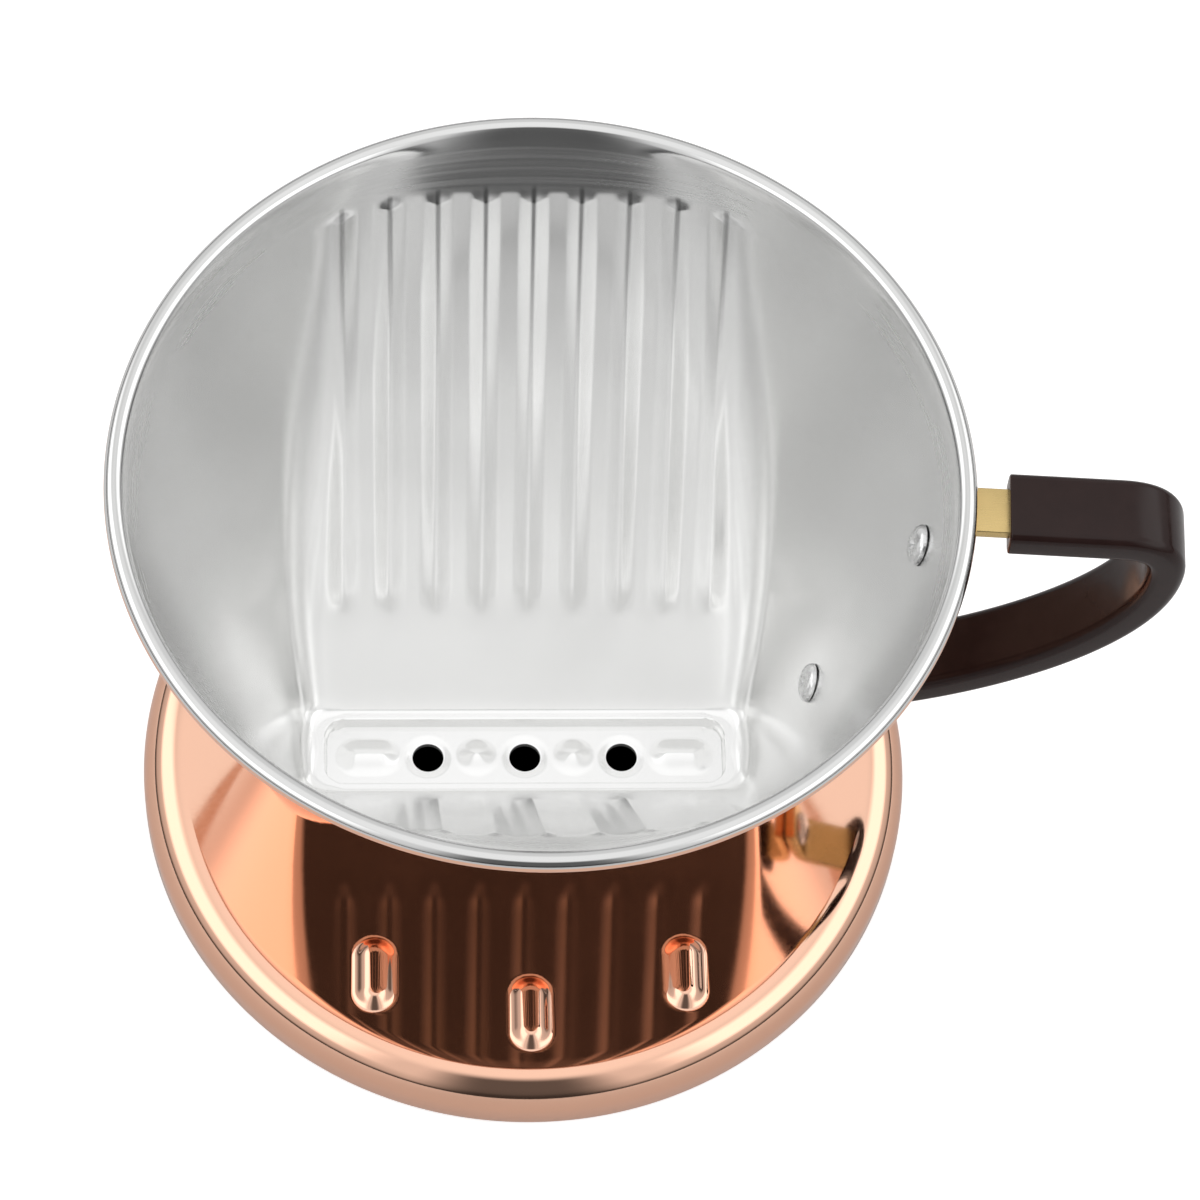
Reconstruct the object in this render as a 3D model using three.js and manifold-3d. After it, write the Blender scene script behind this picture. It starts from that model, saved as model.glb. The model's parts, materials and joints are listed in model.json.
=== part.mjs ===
// Pour-over coffee dripper: a tin-lined copper wedge cup with ribbed flat faces and three drip holes,
// seated in a pressed copper base dish, with a moulded handle on two riveted brass brackets.
// Millimetres, +Z up. The origin is on the cup's axis at the resting plane, +X towards the handle.

import * as THREE from 'three';
import { mergeVertices } from 'three/addons/utils/BufferGeometryUtils.js';
import Module from 'manifold-3d';

// Overall sizes
const CUP_HEIGHT = 88.8;            // resting plane to the top of the rim bead
const RIM_DIAMETER = 118;           // outside of the rim bead
const BASE_DIAMETER = 114.7;        // outside of the base dish

// Cup
const CUP_WALL = 0.8;               // sheet thickness, square to the surface
const BEAD_DIAMETER = 2.8;          // rolled rim
const LEDGE_DROP = 1.9;             // base dish's top down to the inside floor beside the sump
const CONE_FLOOR_RADIUS = 33.6;     // inside radius of the round ends at the ledge
const FACE_FLOOR_HALF = 6.9;        // axis to the flat face at the ledge
const FACE_SLOPE = 0.6;             // outward run of a flat face per millimetre of height
const FACE_BLEND = 2.5;             // rounding where a flat face runs into the cone
const SUMP_LENGTH = 60.4;
const SUMP_WIDTH = 10.8;
const SUMP_CORNER = 2.2;
const SUMP_DEPTH = 2.1;
const SWAGE_LIP = 0.8;              // how far the cup is swaged out under the base sheet
const SWAGE_HEIGHT = 1.4;

// Ribs pressed into both flat faces
const RIB_COUNT = 9;
const RIB_PITCH = 6.8;
const RIB_WIDTH = 4.8;
const RIB_DEPTH = 1.1;
const RIB_RISE = 13.7;              // inside floor to the ribs' lower ends
const RIB_DROP = 7.3;               // top of the rim to the ribs' upper ends
const RIB_RUN_OUT = 3;

// Drip holes and the pressed domes between and beside them
const HOLE_COUNT = 3;
const HOLE_PITCH = 14.6;
const HOLE_DIAMETER = 4.7;
const DOME_HEIGHT = 1.2;
const DOME_WIDTH = 6.2;
const END_DOME_LENGTH = 9.8;

// Base dish
const BASE_SHEET = 0.8;
const BASE_TOP = 9.2;               // height of the flat top
const BASE_EDGE_RADIUS = 6;
const HEM_WIDTH = 1.8;              // turned-in edge that the dripper rests on
const VENT_INSET = 1.15;            // a vent bump's outer end to where the edge starts to round over
const VENT_SPREAD_DEG = 31;
const VENT_WIDTH = 6.8;
const VENT_LENGTH = 12.4;
const VENT_HEIGHT = 1.8;

// Handle, brackets and fasteners
const HANDLE_TURN_DEG = -3.5;       // the handle's plane, turned about +Z from the line of drip holes
const HANDLE_WIDTH = 10.4;
const HANDLE_THICKNESS = 5.2;
const HANDLE_EDGE = 1.3;
const HANDLE_REACH = 26.9;          // rim bead to the middle of the grip at its furthest
const HANDLE_GAP = 4.5;             // rim bead to the upper end of the handle
const UPPER_TAB_DROP = 4.4;         // top of the rim to the middle of the upper tab
const LOWER_END_HEIGHT = 39.4;      // middle of the handle's lower end
const LOWER_END_GAP = 8.2;          // cup wall to the handle's lower end
const LOWER_TAB_RISE_DEG = 22;
const STRIP_WIDTH = 7;
const STRIP_THICKNESS = 1.6;
const STRIP_BEND = 1.8;
const TAB_GRIP = 5.5;               // length of tab inside the handle
const FOOT_TAIL = 4.5;              // strip below the rivet's axis
const UPPER_RIVET_DROP = 14.4;      // top of the rim to the upper rivet
const LOWER_RIVET_HEIGHT = 33;
const RIVET_SHANK = 3;
const RIVET_INNER_HEAD = 5.8;
const RIVET_OUTER_HEAD = 5.2;
const RIVET_HEAD_HEIGHT = 1.2;
const SCREW_SHANK = 2.4;
const SCREW_HEAD = 4.2;
const SCREW_HEAD_HEIGHT = 1.2;
const SCREW_INSET = 3;              // handle end to the screw's axis

const CLEARANCE = 0.3;              // between touching pieces
const OVERCUT = 4;                  // how far a cutter reaches past what it cuts

// Worked out from the sizes above
const RIM_RADIUS = RIM_DIAMETER / 2;
const BEAD_RADIUS = BEAD_DIAMETER / 2;
const BEAD_HEIGHT = CUP_HEIGHT - BEAD_RADIUS;
const CONE_RIM_RADIUS = RIM_RADIUS - BEAD_DIAMETER;
const LEDGE_HEIGHT = BASE_TOP - LEDGE_DROP;
const CONE_SLOPE = (CONE_RIM_RADIUS - CONE_FLOOR_RADIUS) / (BEAD_HEIGHT - LEDGE_HEIGHT);
const CONE_ANGLE = Math.atan(CONE_SLOPE);
const CONE_WALL = CUP_WALL / Math.cos(CONE_ANGLE);
const FACE_WALL = CUP_WALL / Math.cos(Math.atan(FACE_SLOPE));
const LEDGE_UNDERSIDE = LEDGE_HEIGHT - CUP_WALL;
const SUMP_FLOOR = LEDGE_HEIGHT - SUMP_DEPTH;
const RIB_SPAN = (RIB_COUNT - 1) / 2 * RIB_PITCH;
const RIB_BOTTOM = LEDGE_HEIGHT + RIB_RISE;
const RIB_TOP = CUP_HEIGHT - RIB_DROP;
const BASE_UNDERSIDE = BASE_TOP - BASE_SHEET;
const UPPER_RIVET_HEIGHT = CUP_HEIGHT - UPPER_RIVET_DROP;

const wasm = await Module();
wasm.setup();
const group = new THREE.Group();

const metal = (color, roughness) => new THREE.MeshStandardMaterial({ color, roughness, metalness: 1 });
const COPPER = 0xc8774f;
const BRASS = 0xc9a85a;
const STEEL = 0xb9bbbd;
const RESIN = 0x33211d;

function add(name, geometry, material, parent = group) {
  const mesh = new THREE.Mesh(geometry, material);
  mesh.name = name;
  parent.add(mesh);
  return mesh;
}

// ---------- joining and cutting ----------

function solid(geometry, matrix = new THREE.Matrix4()) {
  const bare = geometry.clone().applyMatrix4(matrix);
  bare.deleteAttribute('normal');
  bare.deleteAttribute('uv');
  const merged = mergeVertices(bare, 1e-4);
  return new wasm.Manifold(new wasm.Mesh({
    numProp: 3,
    vertProperties: Float32Array.from(merged.attributes.position.array),
    triVerts: Uint32Array.from(merged.index.array),
  }));
}

function geometryOf(manifold) {
  const mesh = manifold.getMesh();
  const geometry = new THREE.BufferGeometry();
  geometry.setAttribute('position', new THREE.Float32BufferAttribute(mesh.vertProperties, 3));
  geometry.setIndex(Array.from(mesh.triVerts));
  geometry.computeVertexNormals();
  return geometry;
}

function cut(body, tools) {
  return tools.reduce((rest, tool) => rest.subtract(tool), body);
}

function join(body, tools) {
  return tools.reduce((sum, tool) => sum.add(tool), body);
}

// A cylinder along +Z of its own frame, put in place by a matrix.
function drill(radius, length, matrix, segments = 20) {
  const geometry = new THREE.CylinderGeometry(radius, radius, length, segments);
  geometry.rotateX(Math.PI / 2);
  return solid(geometry, matrix);
}

function ellipsoid(halfX, halfY, halfZ, x, y, z) {
  const geometry = new THREE.SphereGeometry(1, 12, 6);
  const matrix = new THREE.Matrix4().makeTranslation(x, y, z);
  return solid(geometry, matrix.scale(new THREE.Vector3(halfX, halfY, halfZ)));
}

// ---------- the cup ----------

const coneRadius = (z) => CONE_FLOOR_RADIUS + CONE_SLOPE * (z - LEDGE_HEIGHT);
const faceHalf = (z) => FACE_FLOOR_HALF + FACE_SLOPE * (z - LEDGE_HEIGHT);

function smoothStep(low, high, value) {
  const t = Math.min(1, Math.max(0, (value - low) / (high - low)));
  return t * t * (3 - 2 * t);
}

// Inward push of the ribs at a distance x along the face and a height z.
function ribPush(x, z) {
  if (Math.abs(x) > RIB_SPAN + RIB_WIDTH / 2) return 0;
  const offset = x - RIB_PITCH * Math.round(x / RIB_PITCH);
  if (Math.abs(offset) >= RIB_WIDTH / 2) return 0;
  const across = Math.cos(Math.PI * offset / RIB_WIDTH) ** 2;
  const along = smoothStep(RIB_BOTTOM, RIB_BOTTOM + RIB_RUN_OUT, z)
    * (1 - smoothStep(RIB_TOP - RIB_RUN_OUT, RIB_TOP, z));
  return RIB_DEPTH * across * along;
}

// Signed distance, near enough, to a round section cut by two flat faces with rounded meetings.
function wedgeSection(radius, half) {
  return (x, y) => {
    const round = Math.hypot(x, y) - radius;
    const flat = Math.abs(y) - half;
    const blend = Math.min(FACE_BLEND, half / 2);
    return Math.min(Math.max(round, flat), -blend)
      + Math.hypot(Math.max(round + blend, 0), Math.max(flat + blend, 0));
  };
}

function roundedRectangle(halfLength, halfWidth, corner) {
  return (x, y) => {
    const dx = Math.abs(x) - halfLength + corner;
    const dy = Math.abs(y) - halfWidth + corner;
    return Math.min(Math.max(dx, dy), 0) + Math.hypot(Math.max(dx, 0), Math.max(dy, 0)) - corner;
  };
}

// Distance from a point along a direction to where a section ends.
function span(section, x, y, dx, dy) {
  let low = 0;
  let high = 2 * RIM_DIAMETER;
  for (let step = 0; step < 40; step += 1) {
    const middle = (low + high) / 2;
    if (section(x + dx * middle, y + dy * middle) < 0) low = middle;
    else high = middle;
  }
  return (low + high) / 2;
}

const STEPS_PER_RIB = 4;
const FACE_STEP = RIB_PITCH / STEPS_PER_RIB;
const FACE_COLUMNS = (RIB_COUNT - 1) * STEPS_PER_RIB + 3;
const FACE_EDGE = RIB_SPAN + FACE_STEP;
const END_COLUMNS = 13;

// One closed ring round a section, anticlockwise, with its columns always in the same order.
// push moves the points of the flat faces inwards.
function ring(section, z, push = () => 0) {
  const points = [];
  const edge = span(section, FACE_EDGE, 0, 0, 1);
  const edgeAngle = Math.atan2(edge, FACE_EDGE);
  for (const side of [1, -1]) {
    for (let i = 0; i < FACE_COLUMNS; i += 1) {
      const x = side * (FACE_EDGE - i * FACE_STEP);
      points.push([x, side * (span(section, x, 0, 0, 1) - push(x, z)), z]);
    }
    for (let i = 1; i <= END_COLUMNS; i += 1) {
      const angle = edgeAngle * (1 - 2 * i / (END_COLUMNS + 1));
      const far = span(section, 0, 0, Math.cos(angle), Math.sin(angle));
      points.push([-side * far * Math.cos(angle), side * far * Math.sin(angle), z]);
    }
  }
  return points;
}

// A closed skin through a list of rings, with a fan at the first and the last.
function skin(rings, firstMiddle, lastMiddle) {
  const count = rings[0].length;
  const positions = rings.flat(2);
  const index = [];
  const first = positions.length / 3;
  positions.push(...firstMiddle, ...lastMiddle);
  for (let i = 0; i < count; i += 1) {
    const next = (i + 1) % count;
    index.push(first, next, i);
    index.push(first + 1, (rings.length - 1) * count + i, (rings.length - 1) * count + next);
    for (let row = 0; row < rings.length - 1; row += 1) {
      const here = row * count;
      const above = here + count;
      index.push(here + i, here + next, above + next, here + i, above + next, above + i);
    }
  }
  const geometry = new THREE.BufferGeometry();
  geometry.setAttribute('position', new THREE.Float32BufferAttribute(positions, 3));
  geometry.setIndex(index);
  geometry.computeVertexNormals();
  return geometry;
}

const innerSection = (z) => wedgeSection(coneRadius(z), faceHalf(z));
const outerSection = (z, grow = 0) => wedgeSection(
  coneRadius(z) + CONE_WALL + grow, faceHalf(z) + FACE_WALL + grow);
const circle = (radius) => (x, y) => Math.hypot(x, y) - radius;

// Heights at which the wall gets a ring, bottom to top.
function wallHeights(from) {
  const ribs = [RIB_BOTTOM, RIB_BOTTOM + RIB_RUN_OUT / 2, RIB_BOTTOM + RIB_RUN_OUT,
    RIB_TOP - RIB_RUN_OUT, RIB_TOP - RIB_RUN_OUT / 2, RIB_TOP];
  const top = BEAD_HEIGHT - BEAD_RADIUS;
  const between = [0.3, 0.6, 0.85].map(
    (share) => ribs[2] + share * (ribs[3] - ribs[2]));
  return [from, ...ribs.slice(0, 3), ...between, ...ribs.slice(3), top]
    .filter((z) => z >= from && z <= top)
    .sort((a, b) => a - b);
}

function makeCup() {
  const sumpOutside = roundedRectangle(
    SUMP_LENGTH / 2 + CUP_WALL, SUMP_WIDTH / 2 + CUP_WALL, SUMP_CORNER + CUP_WALL);
  const sumpInside = roundedRectangle(SUMP_LENGTH / 2, SUMP_WIDTH / 2, SUMP_CORNER);
  const lipTop = BASE_UNDERSIDE - CLEARANCE;
  const lip = [
    [LEDGE_UNDERSIDE, 0],
    [lipTop - SWAGE_HEIGHT, SWAGE_LIP],
    [lipTop, SWAGE_LIP],
    [lipTop + CLEARANCE / 2, 0],
  ];
  const outside = [
    ring(sumpOutside, SUMP_FLOOR - CUP_WALL),
    ring(sumpOutside, LEDGE_UNDERSIDE),
    ...lip.map(([z, grow]) => ring(outerSection(z, grow), z)),
    ...wallHeights(BASE_TOP + CLEARANCE).map((z) => ring(outerSection(z), z, ribPush)),
  ];
  const bead = [];
  const beadMiddle = CONE_RIM_RADIUS + BEAD_RADIUS;
  for (const degrees of [-60, 0, 45, 90, 150]) {
    const angle = THREE.MathUtils.degToRad(degrees);
    const radius = beadMiddle + BEAD_RADIUS * Math.cos(angle);
    bead.push(ring(circle(radius), BEAD_HEIGHT + BEAD_RADIUS * Math.sin(angle)));
  }
  const inside = [
    ...wallHeights(LEDGE_HEIGHT).reverse().map((z) => ring(innerSection(z), z, ribPush)),
    ring(sumpInside, LEDGE_HEIGHT),
    ring(sumpInside, SUMP_FLOOR),
  ];
  const shell = solid(skin([...outside, ...bead, ...inside],
    [0, 0, SUMP_FLOOR - CUP_WALL], [0, 0, SUMP_FLOOR]));

  const holes = [];
  const domes = [];
  for (let i = 0; i < HOLE_COUNT; i += 1) {
    const x = (i - (HOLE_COUNT - 1) / 2) * HOLE_PITCH;
    const place = new THREE.Matrix4().makeTranslation(x, 0, SUMP_FLOOR - CUP_WALL / 2);
    holes.push(drill(HOLE_DIAMETER / 2, CUP_WALL + OVERCUT, place));
    if (i > 0) {
      domes.push(ellipsoid(DOME_WIDTH / 2, DOME_WIDTH / 2, DOME_HEIGHT, x - HOLE_PITCH / 2, 0, SUMP_FLOOR));
    }
  }
  const lastHole = (HOLE_COUNT - 1) / 2 * HOLE_PITCH + HOLE_DIAMETER / 2;
  const endDome = (lastHole + SUMP_LENGTH / 2) / 2;
  for (const side of [-1, 1]) {
    domes.push(ellipsoid(END_DOME_LENGTH / 2, DOME_WIDTH / 2, DOME_HEIGHT, side * endDome, 0, SUMP_FLOOR));
  }
  const underside = drill(RIM_DIAMETER, OVERCUT,
    new THREE.Matrix4().makeTranslation(0, 0, SUMP_FLOOR - CUP_WALL / 2 - OVERCUT / 2));
  const rivetHoles = [UPPER_RIVET_HEIGHT, LOWER_RIVET_HEIGHT].map((z) => drill(
    RIVET_SHANK / 2 + CLEARANCE, 2 * OVERCUT, handleTurn().multiply(rivetPlace(z))));
  return geometryOf(cut(join(shell, domes.map((dome) => dome.subtract(underside))),
    [...holes, ...rivetHoles]));
}

// ---------- the base dish ----------

function makeBase() {
  const radius = BASE_DIAMETER / 2;
  const edgeMiddle = radius - BASE_EDGE_RADIUS;
  const edgeHeight = BASE_TOP - BASE_EDGE_RADIUS;
  const arc = (size, from, to) => {
    const steps = 5;
    return Array.from({ length: steps + 1 }, (_, i) => {
      const angle = from + (to - from) * i / steps;
      return new THREE.Vector2(edgeMiddle + size * Math.cos(angle), edgeHeight + size * Math.sin(angle));
    });
  };
  const profile = [
    new THREE.Vector2(0, BASE_UNDERSIDE),
    ...arc(BASE_EDGE_RADIUS - BASE_SHEET, Math.PI / 2, 0),
    new THREE.Vector2(radius - BASE_SHEET, BASE_SHEET),
    new THREE.Vector2(radius - HEM_WIDTH, BASE_SHEET),
    new THREE.Vector2(radius - HEM_WIDTH, 0),
    new THREE.Vector2(radius - BASE_SHEET / 2, 0),
    new THREE.Vector2(radius, BASE_SHEET / 2),
    ...arc(BASE_EDGE_RADIUS, 0, Math.PI / 2),
    new THREE.Vector2(0, BASE_TOP),
  ];
  const dish = new THREE.LatheGeometry(profile, 64);
  dish.rotateX(Math.PI / 2);
  const ventMiddle = edgeMiddle - VENT_INSET - VENT_LENGTH / 2;
  const above = [];
  const below = [];
  for (const side of [-90, 90]) {
    for (const spread of [-VENT_SPREAD_DEG, 0, VENT_SPREAD_DEG]) {
      const angle = THREE.MathUtils.degToRad(side + spread);
      const x = ventMiddle * Math.cos(angle);
      const y = ventMiddle * Math.sin(angle);
      above.push(ellipsoid(VENT_WIDTH / 2, VENT_LENGTH / 2, VENT_HEIGHT, x, y, BASE_TOP));
      below.push(ellipsoid(VENT_WIDTH / 2 - BASE_SHEET, VENT_LENGTH / 2 - BASE_SHEET,
        VENT_HEIGHT, x, y, BASE_UNDERSIDE));
    }
  }
  const seat = outerSection(BASE_TOP, CLEARANCE);
  const low = BASE_UNDERSIDE - OVERCUT;
  const high = BASE_TOP + OVERCUT;
  const slot = solid(skin([ring(seat, low), ring(seat, high)], [0, 0, low], [0, 0, high]));
  // The domes' lower halves would fill the vents from below, so they are cut away first.
  const floor = drill(BASE_DIAMETER, OVERCUT,
    new THREE.Matrix4().makeTranslation(0, 0, BASE_UNDERSIDE + BASE_SHEET / 2 - OVERCUT / 2));
  return geometryOf(cut(join(solid(dish), above.map((dome) => dome.subtract(floor))), [...below, slot]));
}

// ---------- the handle, its brackets and fasteners ----------
// All are drawn in the handle's own plane: x outwards from the cup's axis, z up, y across.

const handleTurn = () => new THREE.Matrix4().makeRotationZ(THREE.MathUtils.degToRad(HANDLE_TURN_DEG));
const wallOutside = (z) => coneRadius(z) + CONE_WALL;

// A frame whose +Z points square out of the cup's wall at a height, with its origin on the outer surface.
function rivetPlace(z) {
  const place = new THREE.Matrix4().makeTranslation(wallOutside(z), 0, z);
  return place.multiply(new THREE.Matrix4().makeRotationY(Math.PI / 2 + CONE_ANGLE));
}

// The outline of a strip of even thickness along a line of points.
function stripShape(points, thickness) {
  const left = [];
  const right = [];
  points.forEach((point, i) => {
    const before = points[Math.max(0, i - 1)];
    const after = points[Math.min(points.length - 1, i + 1)];
    const along = after.clone().sub(before).normalize();
    const across = new THREE.Vector2(-along.y, along.x).multiplyScalar(thickness / 2);
    left.push(point.clone().add(across));
    right.push(point.clone().sub(across));
  });
  return new THREE.Shape([...left, ...right.reverse()]);
}

// Extrudes an outline drawn in x and z by a width in y, centred on the plane.
function acrossPlane(shape, width, edge = 0) {
  const geometry = new THREE.ExtrudeGeometry(shape, {
    depth: width - 2 * edge,
    bevelEnabled: edge > 0,
    bevelThickness: edge,
    bevelSize: edge,
    bevelOffset: -edge,
    bevelSegments: 3,
  });
  geometry.translate(0, 0, edge - width / 2);
  geometry.rotateX(Math.PI / 2);
  return geometry;
}

const upperTabHeight = CUP_HEIGHT - UPPER_TAB_DROP;
const upperEnd = new THREE.Vector2(RIM_RADIUS + HANDLE_GAP, upperTabHeight);
const lowerEnd = new THREE.Vector2(wallOutside(LOWER_END_HEIGHT) + LOWER_END_GAP, LOWER_END_HEIGHT);
const lowerRise = THREE.MathUtils.degToRad(LOWER_TAB_RISE_DEG);
const lowerAlong = new THREE.Vector2(Math.cos(lowerRise), Math.sin(lowerRise));

// The middle line of the handle: a level arm, a tight turn and one long sweep back to the cup.
function handleLine() {
  const turn = 7;
  const reach = RIM_RADIUS + HANDLE_REACH;
  const armEnd = new THREE.Vector2(reach - turn, upperEnd.y);
  const corner = new THREE.Vector2(reach, upperEnd.y);
  const sweepStart = new THREE.Vector2(reach, upperEnd.y - turn);
  const drop = sweepStart.y - lowerEnd.y;
  const sweepDown = new THREE.Vector2(reach, sweepStart.y - 0.42 * drop);
  const sweepIn = lowerEnd.clone().addScaledVector(lowerAlong, 0.48 * drop);
  const line = new THREE.CurvePath();
  line.add(new THREE.LineCurve(upperEnd, armEnd));
  line.add(new THREE.QuadraticBezierCurve(armEnd, corner, sweepStart));
  line.add(new THREE.CubicBezierCurve(sweepStart, sweepDown, sweepIn, lowerEnd));
  const points = [upperEnd];
  line.curves.forEach((curve, i) => points.push(...curve.getPoints([3, 7, 16][i]).slice(1)));
  return points;
}

// The middle line of a bracket: up along the cup's wall, round a bend and out along its tab.
function bracketLine(rivetHeight, tabEnd, tabAlong) {
  const off = (CLEARANCE + STRIP_THICKNESS / 2) / Math.cos(CONE_ANGLE);
  const wallPoint = (z) => new THREE.Vector2(wallOutside(z) + off, z);
  const foot = wallPoint(rivetHeight - FOOT_TAIL * Math.cos(CONE_ANGLE));
  const wallAlong = new THREE.Vector2(Math.sin(CONE_ANGLE), Math.cos(CONE_ANGLE));
  const toTab = tabEnd.clone().sub(foot);
  const length = (toTab.x * tabAlong.y - toTab.y * tabAlong.x)
    / (wallAlong.x * tabAlong.y - wallAlong.y * tabAlong.x);
  const corner = foot.clone().addScaledVector(wallAlong, length);
  const bend = new THREE.QuadraticBezierCurve(
    corner.clone().addScaledVector(wallAlong, -STRIP_BEND), corner,
    corner.clone().addScaledVector(tabAlong, STRIP_BEND));
  return [foot, ...bend.getPoints(5), tabEnd];
}

// A frame on the middle line of a tab, SCREW_INSET into the handle, whose +Z points up through the tab.
function screwPlace(end, rise) {
  const x = end.x + SCREW_INSET * Math.cos(rise);
  const z = end.y + SCREW_INSET * Math.sin(rise);
  return new THREE.Matrix4().makeTranslation(x, 0, z)
    .multiply(new THREE.Matrix4().makeRotationY(-rise));
}

const tabs = [
  { name: 'upper', end: upperEnd, rise: 0, along: new THREE.Vector2(1, 0), rivet: UPPER_RIVET_HEIGHT },
  { name: 'lower', end: lowerEnd, rise: lowerRise, along: lowerAlong, rivet: LOWER_RIVET_HEIGHT },
];

function makeHandle() {
  const grip = solid(acrossPlane(stripShape(handleLine(), HANDLE_THICKNESS), HANDLE_WIDTH, HANDLE_EDGE));
  const cuts = [];
  for (const tab of tabs) {
    const length = 2 * (TAB_GRIP + CLEARANCE);
    const pocket = new THREE.BoxGeometry(
      length, STRIP_WIDTH + 2 * CLEARANCE, STRIP_THICKNESS + 2 * CLEARANCE);
    const place = new THREE.Matrix4().makeTranslation(tab.end.x, 0, tab.end.y)
      .multiply(new THREE.Matrix4().makeRotationY(-tab.rise));
    cuts.push(solid(pocket, place));
    const below = screwPlace(tab.end, tab.rise)
      .multiply(new THREE.Matrix4().makeTranslation(0, 0, -HANDLE_THICKNESS / 2));
    cuts.push(drill(SCREW_SHANK / 2 + CLEARANCE, HANDLE_THICKNESS - STRIP_THICKNESS, below, 16));
  }
  return geometryOf(cut(grip, cuts));
}

function makeBracket(tab) {
  const tabEnd = tab.end.clone().addScaledVector(tab.along, TAB_GRIP);
  const strip = solid(acrossPlane(
    stripShape(bracketLine(tab.rivet, tabEnd, tab.along), STRIP_THICKNESS), STRIP_WIDTH));
  return geometryOf(cut(strip, [
    drill(RIVET_SHANK / 2 + CLEARANCE, 2 * OVERCUT, rivetPlace(tab.rivet), 16),
    drill(SCREW_SHANK / 2 + CLEARANCE, 2 * OVERCUT, screwPlace(tab.end, tab.rise), 16),
  ]));
}

// The rivet's middle is the cup's outer surface: the bracket is above it and the cup's wall below.
function makeRivet() {
  const shank = RIVET_SHANK / 2;
  const outerSeat = STRIP_THICKNESS + 2 * CLEARANCE;
  const sag = RIVET_INNER_HEAD ** 2 / (8 * coneRadius(LOWER_RIVET_HEIGHT));
  const innerSeat = -(CUP_WALL + CLEARANCE + sag);
  const inner = RIVET_INNER_HEAD / 2;
  const outer = RIVET_OUTER_HEAD / 2;
  const dome = (radius, seat, share, rise) => new THREE.Vector2(radius * share, seat + rise);
  const profile = [
    new THREE.Vector2(0, innerSeat - RIVET_HEAD_HEIGHT * 0.55),
    dome(inner, innerSeat, 0.35, -RIVET_HEAD_HEIGHT * 0.7),
    dome(inner, innerSeat, 0.5, -RIVET_HEAD_HEIGHT),
    dome(inner, innerSeat, 0.85, -RIVET_HEAD_HEIGHT * 0.7),
    new THREE.Vector2(inner, innerSeat - RIVET_HEAD_HEIGHT * 0.25),
    new THREE.Vector2(inner, innerSeat),
    new THREE.Vector2(shank, innerSeat),
    new THREE.Vector2(shank, outerSeat),
    new THREE.Vector2(outer, outerSeat),
    dome(outer, outerSeat, 0.9, RIVET_HEAD_HEIGHT * 0.55),
    dome(outer, outerSeat, 0.5, RIVET_HEAD_HEIGHT * 0.92),
    new THREE.Vector2(0, outerSeat + RIVET_HEAD_HEIGHT),
  ];
  const geometry = new THREE.LatheGeometry(profile, 20);
  geometry.rotateX(Math.PI / 2);
  return geometry;
}

// A pan-head screw from under the handle into the tab, drawn along +Z from the middle of the tab.
function makeScrew() {
  const shank = SCREW_SHANK / 2;
  const head = SCREW_HEAD / 2;
  const seat = -HANDLE_THICKNESS / 2 - CLEARANCE;
  const profile = [
    new THREE.Vector2(0, seat - SCREW_HEAD_HEIGHT),
    new THREE.Vector2(head * 0.6, seat - SCREW_HEAD_HEIGHT * 0.95),
    new THREE.Vector2(head * 0.92, seat - SCREW_HEAD_HEIGHT * 0.6),
    new THREE.Vector2(head, seat),
    new THREE.Vector2(shank, seat),
    new THREE.Vector2(shank, STRIP_THICKNESS / 2),
    new THREE.Vector2(0, STRIP_THICKNESS / 2),
  ];
  const geometry = new THREE.LatheGeometry(profile, 16);
  geometry.rotateX(Math.PI / 2);
  return geometry;
}

add('cup', makeCup(), metal(COPPER, 0.2));
add('base_plate', makeBase(), metal(COPPER, 0.12));

const handleGroup = new THREE.Group();
handleGroup.rotation.z = THREE.MathUtils.degToRad(HANDLE_TURN_DEG);
group.add(handleGroup);
const resin = new THREE.MeshStandardMaterial({ color: RESIN, roughness: 0.3, metalness: 0 });
add('handle', makeHandle(), resin, handleGroup);
for (const tab of tabs) {
  add(`${tab.name}_bracket`, makeBracket(tab), metal(BRASS, 0.3), handleGroup);
  const rivet = add(`${tab.name}_rivet`, makeRivet(), metal(STEEL, 0.35), handleGroup);
  rivetPlace(tab.rivet).decompose(rivet.position, rivet.quaternion, rivet.scale);
  const screw = add(`${tab.name}_handle_screw`, makeScrew(), metal(STEEL, 0.35), handleGroup);
  screwPlace(tab.end, tab.rise).decompose(screw.position, screw.quaternion, screw.scale);
}

export default group;
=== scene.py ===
"""Copper wedge coffee dripper: fine surfaces and finishes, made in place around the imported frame.

Lengths are in metres. The cup's axis is Z, the drip holes lie along X, and the handle is on the +X side.
"""

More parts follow.
